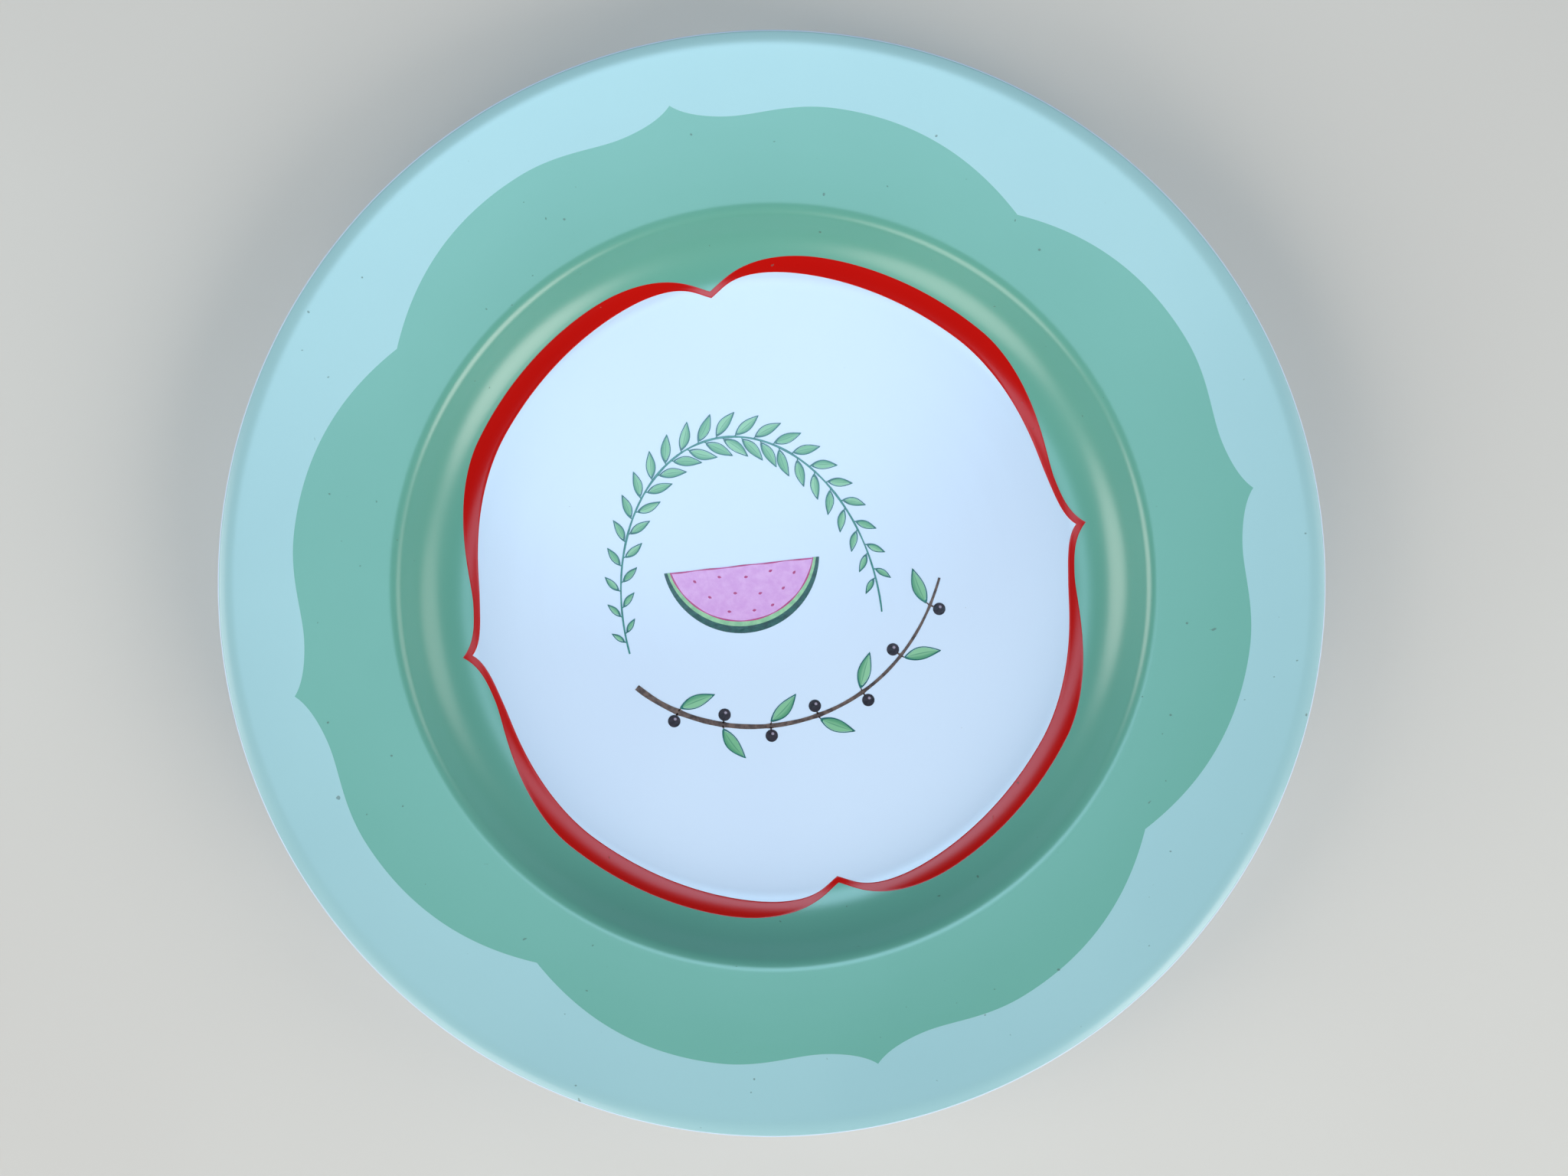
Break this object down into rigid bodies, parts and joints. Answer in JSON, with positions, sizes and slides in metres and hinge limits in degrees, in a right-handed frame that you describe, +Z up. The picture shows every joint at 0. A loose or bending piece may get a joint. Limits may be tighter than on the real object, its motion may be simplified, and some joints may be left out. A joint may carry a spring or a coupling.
{
  "type": "china dinner plate",
  "caption": "Round china dinner plate with a rolled lip, broad rim, sloped well and foot ring, glazed, with a scalloped enamel border and a printed fruit and leaf motif.",
  "frame": {"origin": "centre of the circle that the foot ring stands on", "axes": "+Z up along the plate's axis, +Y towards the top of the printed motif"},
  "size_m": [0.27, 0.27, 0.024],
  "materials": {
    "bisque_porcelain": "matte white fired body, seen bare only on the foot ring's tread",
    "clear_glaze": "glossy clear glaze over white porcelain",
    "mint_enamel": "pale mint enamel, satin gloss",
    "green_enamel": "soft green enamel, satin gloss",
    "red_enamel": "orange red enamel, glossy",
    "stem_print": "blue green printed line, glossy",
    "leaf_ink_print": "dark blue green printed line, glossy",
    "leaf_green_print": "leaf green print, glossy",
    "rind_print": "dark green print, glossy",
    "pith_print": "pale green print, glossy",
    "flesh_print": "mauve pink print, glossy",
    "seed_print": "deep pink print, glossy",
    "twig_print": "brown print, glossy",
    "berry_print": "near black print, glossy"
  },
  "bodies": {
    "root": {"porcelain_body": "bisque_porcelain", "glaze_coat": "clear_glaze", "rim_enamel": "mint_enamel", "border_enamel": "green_enamel", "red_line": "red_enamel", "arch_stem": "stem_print", "leaf_ink": "leaf_ink_print", "leaf_fill": "leaf_green_print", "melon_rind": "rind_print", "melon_pith": "pith_print", "melon_flesh": "flesh_print", "melon_seeds": "seed_print", "twig": "twig_print", "berries": "berry_print"}
  },
  "joints": []
}
